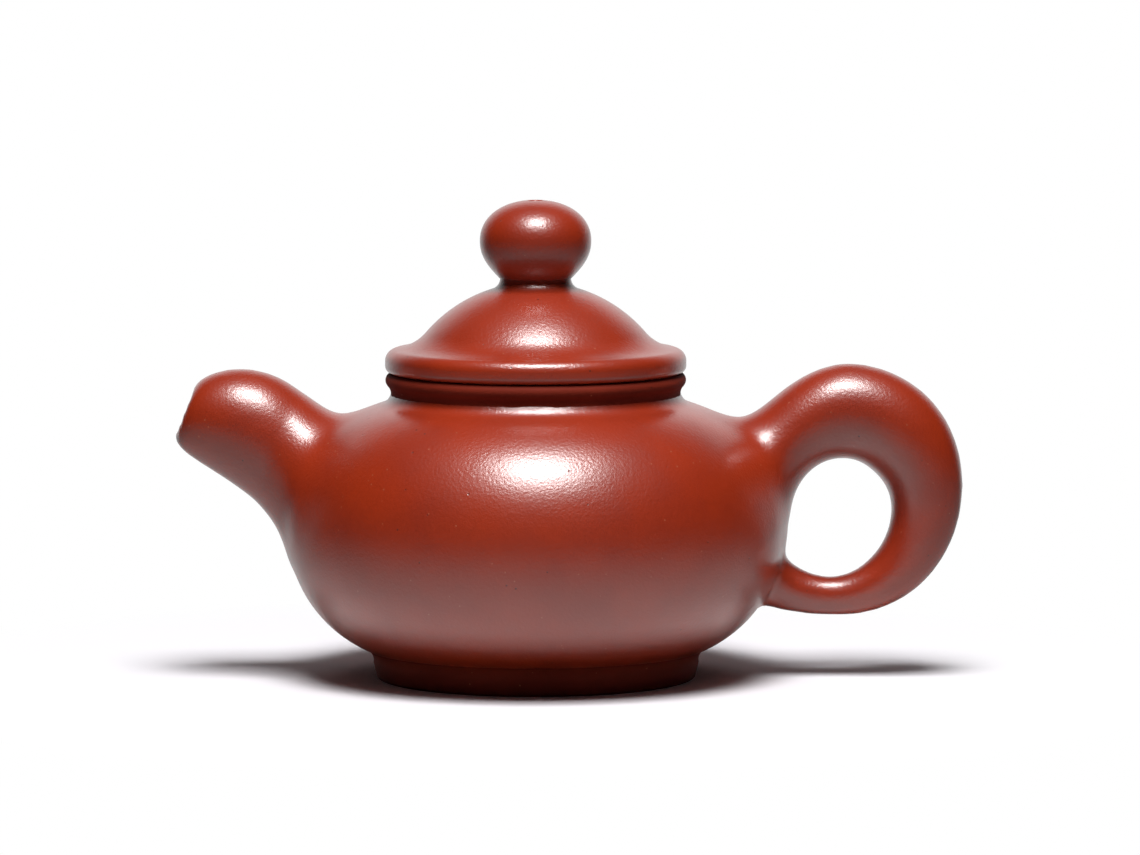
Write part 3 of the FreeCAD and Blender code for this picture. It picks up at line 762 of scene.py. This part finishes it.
class TEAPOT_OT_foot(bpy.types.Operator):
    """Foot ring under the belly, flat where it stands"""

    bl_idname = "teapot.foot"
    bl_label = "Foot ring"

    def execute(self, context):
        belly = context.scene.teapot.belly
        edge = 0.6 * MM
        sunk = 0.5 * MM
        overlap = 0.03 * MM
        sweep_rise = 2.6 * MM
        side = side_middle(belly)
        ring, middle = side
        lean = belly.foot_taper
        sweep_ring = belly.foot + belly.foot_sweep / math.cos(lean) + sweep_rise * math.tan(lean)
        sweep = (
            sweep_ring,
            middle - across(belly.arc + belly.foot_sweep - overlap, sweep_ring - ring),
        )
        inner_low = middle - belly_height(belly, belly.foot_inside, belly.arc - sunk)
        meet = rising(side, sweep)
        start = rising(side, (belly.foot_inside, inner_low))
        outline = [
            *arc_points(side, belly.arc - sunk, start, meet, 8),
            *arc_points(sweep, belly.foot_sweep, meet + 180, 180 + math.degrees(lean), 12),
            *arc_points((belly.foot - edge, edge), edge, -math.degrees(lean), -90, 6),
            *arc_points((belly.foot_inside + edge, edge), edge, -90, -180, 6),
        ]
        outline.append(outline[0])
        piece = turned_piece("foot_turned", outline)
        # The foot takes the darker unburnished clay: painted shade under the belly
        finish_piece(piece, "pot", "foot_ring", burnished=False)
        return {"FINISHED"}


class TEAPOT_OT_neck(bpy.types.Operator):
    """Neck ring: a hollow over the shoulder, then a round bead that carries the lid"""

    bl_idname = "teapot.neck"
    bl_label = "Neck ring"

    def execute(self, context):
        belly = context.scene.teapot.belly
        edge = 0.5 * MM
        proud = 0.03 * MM
        under_waist = 25
        rim = rim_height(belly)
        hollow = hollow_middle(belly)
        bead = (belly.bead - belly.bead_arc, rim - belly.bead_arc)
        under_ring = belly.waist + belly.under_bead
        under = (
            under_ring,
            bead[1] - across(belly.bead_arc + belly.under_bead, under_ring - bead[0]),
        )
        meet = rising(bead, under)
        outline = [
            (belly.mouth, hollow[1] - MM),
            (belly.waist - MM, hollow[1] - MM),
            *arc_points(hollow, belly.hollow - proud, 180 + under_waist, 180, 4),
            *arc_points(under, belly.under_bead - proud, 180, meet + 180, 10)[1:],
            *arc_points(bead, belly.bead_arc, meet, 90, 18)[1:],
            *arc_points((belly.mouth + edge, rim - edge), edge, 90, 180, 6),
        ]
        outline.append(outline[0])
        piece = turned_piece("neck_turned", outline)
        # The neck takes the darker unburnished clay: painted shade under the lid's brim
        finish_piece(piece, "pot", "neck_ring", burnished=False)
        return {"FINISHED"}


class TEAPOT_OT_lid(bpy.types.Operator):
    """Lid with a rounded brim, a dome and the seat of the knob, hollow underneath"""

    bl_idname = "teapot.lid"
    bl_label = "Lid"

    def execute(self, context):
        lid = context.scene.teapot.lid
        rim = rim_height(context.scene.teapot.belly)
        seat_inset = 0.6 * MM
        dome = (0, rim + lid.dome_height - lid.dome)
        inside = lid.dome - lid.wall
        brim_top = rim + lid.brim_height
        seat_ring = lid.seat + lid.seat_sweep
        seat = (seat_ring, dome[1] + across(lid.dome + lid.seat_sweep, seat_ring))
        edge = (lid.brim - lid.top_round, brim_top - lid.top_round)
        sweep = max(
            intersect_sphere_sphere_2d(
                Vector(dome), lid.dome + lid.brim_sweep, Vector(edge), lid.top_round + lid.brim_sweep
            ),
            key=lambda spot: spot.y,
        )
        seat_turn = rising(dome, seat)
        sweep_turn = rising(dome, sweep)
        edge_turn = rising(edge, sweep)
        inside_low = rising(dome, (across(inside, rim - dome[1]), rim))
        funnel = (lid.air_funnel, dome[1] + across(inside, lid.air_funnel))
        outline = [
            (lid.air_hole, seat[1]),
            (lid.seat - seat_inset, seat[1]),
            *arc_points(seat, lid.seat_sweep, 180, 180 + seat_turn, 10),
            *arc_points(dome, lid.dome, seat_turn, sweep_turn, 28)[1:],
            *arc_points(sweep, lid.brim_sweep, 180 + sweep_turn, 180 + edge_turn, 14)[1:],
            *arc_points(edge, lid.top_round, edge_turn, 0, 10)[1:],
            *arc_points((lid.brim - lid.low_round, rim + lid.low_round), lid.low_round, 0, -90, 8),
            *arc_points(dome, inside, inside_low, rising(dome, funnel), 24),
            (lid.air_hole, dome[1] + inside + lid.funnel_depth),
        ]
        outline.append(outline[0])
        piece = turned_piece("lid_turned", outline)
        finish_piece(piece, "lid", "lid_dome")
        return {"FINISHED"}


class TEAPOT_OT_flange(bpy.types.Operator):
    """Flange under the lid that hangs in the mouth"""

    bl_idname = "teapot.flange"
    bl_label = "Lid flange"

    def execute(self, context):
        settings = context.scene.teapot
        lid = settings.lid
        rim = rim_height(settings.belly)
        outer = settings.belly.mouth - lid.gap
        inner = outer - lid.flange_wall
        low = rim - lid.flange_depth
        edge = lid.flange_edge
        let_in = 0.4 * MM
        top = rim + let_in
        outline = [
            (inner, top),
            *arc_points((inner + edge, low + edge), edge, 180, 270, 6),
            *arc_points((outer - edge, low + edge), edge, 270, 360, 6),
            (outer, top),
        ]
        outline.append(outline[0])
        piece = turned_piece("flange_turned", outline)
        finish_piece(piece, "lid", "lid_flange")
        return {"FINISHED"}


class TEAPOT_OT_knob(bpy.types.Operator):
    """Knob: a flattened ball with the air hole down its middle"""

    bl_idname = "teapot.knob"
    bl_label = "Knob"

    def execute(self, context):
        lid = context.scene.teapot.lid
        rim = rim_height(context.scene.teapot.belly)
        dome_middle = rim + lid.dome_height - lid.dome
        seat_top = dome_middle + across(lid.dome + lid.seat_sweep, lid.seat + lid.seat_sweep)
        middle = seat_top + lid.knob_drop
        flank_rings = 20
        crown_rings = 40
        foot = Vector((lid.knob_foot, seat_top))
        low_bend = Vector((lid.knob * 0.81, middle - lid.knob_drop * 0.74))
        high_bend = Vector((lid.knob, middle - lid.knob_drop * 0.46))
        widest = Vector((lid.knob, middle))
        flank = interpolate_bezier(foot, low_bend, high_bend, widest, flank_rings)
        crown = []
        power = 2 / lid.fullness
        for step in range(1, crown_rings):
            turn = math.pi / 2 * step / crown_rings
            radius = lid.knob * math.cos(turn) ** power
            if radius > lid.air_hole + lid.air_edge:
                crown.append((radius, middle + lid.knob_rise * math.sin(turn) ** power))
        top = crown[-1][1]
        outline = [
            (lid.air_hole, seat_top),
            *[(point[0], point[1]) for point in flank],
            *crown,
            *arc_points((lid.air_hole + lid.air_edge, top - lid.air_edge), lid.air_edge, 90, 180, 5),
        ]
        outline.append(outline[0])
        piece = turned_piece("knob_turned", outline)
        finish_piece(piece, "lid", "lid_knob")
        return {"FINISHED"}


class TEAPOT_OT_strainer(bpy.types.Operator):
    """Pierced ball inside the wall at the spout's root"""

    bl_idname = "teapot.strainer"
    bl_label = "Strainer"

    def execute(self, context):
        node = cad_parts["strainer"]
        node.data.materials.clear()
        node.data.materials.append(clay_material())
        return {"FINISHED"}


class TEAPOT_OT_stage(bpy.types.Operator):
    """White table, soft studio light and the camera"""

    bl_idname = "teapot.stage"
    bl_label = "Stage"

    def execute(self, context):
        scene = context.scene
        look = scene.teapot.stage
        table_width = 30
        scene.view_settings.view_transform = "Standard"
        bpy.ops.object.select_all(action="DESELECT")
        bpy.ops.mesh.primitive_plane_add(size=table_width)
        table = name_piece("table")
        table.data.materials.append(table_material(look))
        # Name, place, width and share of the key lamp's power. The clay mirrors only the key lamp.
        lamps = (
            ("key_box", (0.03, -0.37, 1.0), 0.46, 1.0),
            ("front_lamp", (0.0, -0.57, 0.92), 0.16, 0.06),
            ("ceiling", (0.0, 0.0, 1.2), 1.2, 0.1),
            ("overhead", (0.0, -0.25, 1.08), 0.2, 0.22),
            ("back_lamp", (0.0, 0.75, 0.8), 0.5, 0.05),
        )
        for name, place, width, share in lamps:
            lamp = self.add_lamp(name, place, width, look.key * share)
            lamp.visible_glossy = name == "key_box"
        self.light_room(scene, look)
        eye = bpy.data.objects.new("camera", bpy.data.cameras.new("camera"))
        scene.collection.objects.link(eye)
        eye.data.lens = look.lens
        eye.data.sensor_width = 36
        eye.location = (look.aside, -look.distance, look.height)
        ahead = Euler((math.pi / 2 - look.dip, 0, 0)).to_quaternion()
        eye.rotation_mode = "QUATERNION"
        eye.rotation_quaternion = ahead @ Quaternion((0, 0, 1), look.roll)
        scene.camera = eye
        return {"FINISHED"}

    def add_lamp(self, name, place, width, power):
        """A square soft lamp that is turned to the pot's middle."""
        pot_middle = Vector((0, 0, 35 * MM))
        lamp = bpy.data.objects.new(name, bpy.data.lights.new(name, "AREA"))
        bpy.context.scene.collection.objects.link(lamp)
        lamp.data.shape = "SQUARE"
        lamp.data.size = width
        lamp.data.energy = power
        lamp.location = place
        lamp.rotation_mode = "QUATERNION"
        lamp.rotation_quaternion = (pot_middle - Vector(place)).to_track_quat("-Z", "Y")
        return lamp

    def light_room(self, scene, look):
        """A pale room: white to the camera and in reflections from behind, plain light otherwise."""
        world = bpy.data.worlds.new("room")
        scene.world = world
        world.use_nodes = True
        tree = world.node_tree
        tree.nodes.clear()
        path = add_node(tree, "ShaderNodeLightPath").outputs
        way = add_node(tree, "ShaderNodeTexCoord").outputs["Generated"]
        parts = add_node(tree, "ShaderNodeSeparateXYZ", {"Vector": way}).outputs
        low = ramp(tree, parts["Z"], 0.5, 0.75, 1.0, 0.0)
        back = ramp(tree, parts["Y"], BEHIND_START, BEHIND_FULL, 0.0, BEHIND_LIGHT)
        behind = reckon(tree, "MULTIPLY", low, back)
        shine = add_node(
            tree, "ShaderNodeMix", {"Factor": path["Is Glossy Ray"], "B": behind}, A=look.room
        )
        seen = reckon(tree, "MAXIMUM", path["Is Camera Ray"], path["Is Transmission Ray"])
        strength = add_node(
            tree, "ShaderNodeMix", {"Factor": seen, "A": shine.outputs["Result"]}, B=1.0
        )
        light = add_node(
            tree, "ShaderNodeBackground", {"Strength": strength.outputs["Result"]}, Color=(1, 1, 1, 1)
        )
        add_node(tree, "ShaderNodeOutputWorld", {"Surface": light.outputs["Background"]})


def table_material(look):
    """Matt white card: it takes soft shadows near the pot and goes over into a white ground.

    As the pot sees it, its colour is painted light and shade: painted shade under the belly,
    a painted pool of light in front of it, and brighter still for soft light.
    """
    white_start = 65 * MM
    white_full = 110 * MM
    painted_pool_width = 24 * MM
    painted_shade_start = 27 * MM
    painted_shade_end = 33 * MM
    painted_shade_shift = 14 * MM
    painted_soft_gain = 1.85
    material = bpy.data.materials.new("white_card")
    material.use_nodes = True
    tree = material.node_tree
    tree.nodes.clear()
    place = add_node(tree, "ShaderNodeTexCoord").outputs["Object"]
    path = add_node(tree, "ShaderNodeLightPath").outputs
    far = add_node(tree, "ShaderNodeVectorMath", {0: place}, operation="LENGTH").outputs["Value"]
    toward = add_node(tree, "ShaderNodeVectorMath", {0: place}, operation="NORMALIZE")
    parts = add_node(tree, "ShaderNodeSeparateXYZ", {"Vector": toward.outputs["Vector"]})
    round_white = ramp(tree, far, white_start, white_full)
    back_white = ramp(tree, parts.outputs["Y"], BEHIND_START, BEHIND_FULL, 0.0, BEHIND_LIGHT)
    # Painted light thrown back by the card: its colour as the pot sees it is painted shade under the
    # belly, a painted pool of light in front of it, less farther out
    painted_pool = reckon(tree, "DIVIDE", painted_pool_width, far, use_clamp=True)
    # For soft light the painted shade under the belly reaches farther out than in what the polished
    # clay mirrors
    painted_shade_distance = reckon(tree, "MULTIPLY_ADD", path["Is Diffuse Ray"], -painted_shade_shift, far)
    outside_painted_shade = ramp(tree, painted_shade_distance, painted_shade_start, painted_shade_end, 0.1, 1.0)
    # For soft light the card is painted brighter: painted light on the pot
    painted_soft_light = ramp(tree, path["Is Diffuse Ray"], 0.0, 1.0, 1.0, painted_soft_gain)
    painted_bounce = reckon(tree, "MULTIPLY", reckon(tree, "MULTIPLY", painted_pool, outside_painted_shade), painted_soft_light)
    in_view = reckon(tree, "MULTIPLY", path["Is Camera Ray"], round_white)
    in_shine = reckon(tree, "MULTIPLY", path["Is Glossy Ray"], back_white)
    share = reckon(tree, "MAXIMUM", in_view, in_shine)
    tone = add_node(
        tree, "ShaderNodeMix", {"Factor": path["Is Camera Ray"], "A": painted_bounce},
        data_type="RGBA", B=opaque(look.table)
    )
    card = add_node(tree, "ShaderNodeBsdfDiffuse", {"Color": tone.outputs["Result"]})
    glow = add_node(tree, "ShaderNodeEmission", Color=(1, 1, 1, 1), Strength=1.0)
    mixed = add_node(
        tree, "ShaderNodeMixShader",
        {0: share, 1: card.outputs["BSDF"], 2: glow.outputs["Emission"]}
    )
    add_node(tree, "ShaderNodeOutputMaterial", {"Surface": mixed.outputs["Shader"]})
    return material


class TEAPOT_PT_sidebar(bpy.types.Panel):
    """Lists the pieces and their sizes"""

    bl_label = "Teapot"
    bl_idname = "TEAPOT_PT_sidebar"
    bl_space_type = "VIEW_3D"
    bl_region_type = "UI"
    bl_category = "Teapot"

    def draw(self, context):
        for operator in OPERATORS:
            self.layout.operator(operator.bl_idname)
        settings = context.scene.teapot
        for group in ("belly", "spout", "handle", "lid", "clay", "stage"):
            box = self.layout.box()
            box.label(text=group.capitalize())
            sizes = getattr(settings, group)
            for key in sizes.__annotations__:
                box.prop(sizes, key)


GROUPS = (BellySizes, SpoutSizes, HandleSizes, LidSizes, ClayLook, StageLook, TeapotSettings)
OPERATORS = (
    TEAPOT_OT_pot, TEAPOT_OT_foot, TEAPOT_OT_neck, TEAPOT_OT_lid, TEAPOT_OT_flange,
    TEAPOT_OT_knob, TEAPOT_OT_strainer, TEAPOT_OT_stage,
)


def register():
    for item in (*GROUPS, *OPERATORS, TEAPOT_PT_sidebar):
        bpy.utils.register_class(item)
    bpy.types.Scene.teapot = PointerProperty(type=TeapotSettings)


def unregister():
    del bpy.types.Scene.teapot
    for item in reversed((*GROUPS, *OPERATORS, TEAPOT_PT_sidebar)):
        bpy.utils.unregister_class(item)


def main():
    register()
    bpy.ops.teapot.pot()
    bpy.ops.teapot.foot()
    bpy.ops.teapot.neck()
    bpy.ops.teapot.lid()
    bpy.ops.teapot.flange()
    bpy.ops.teapot.knob()
    bpy.ops.teapot.strainer()
    bpy.ops.teapot.stage()


if __name__ == "__main__":
    main()
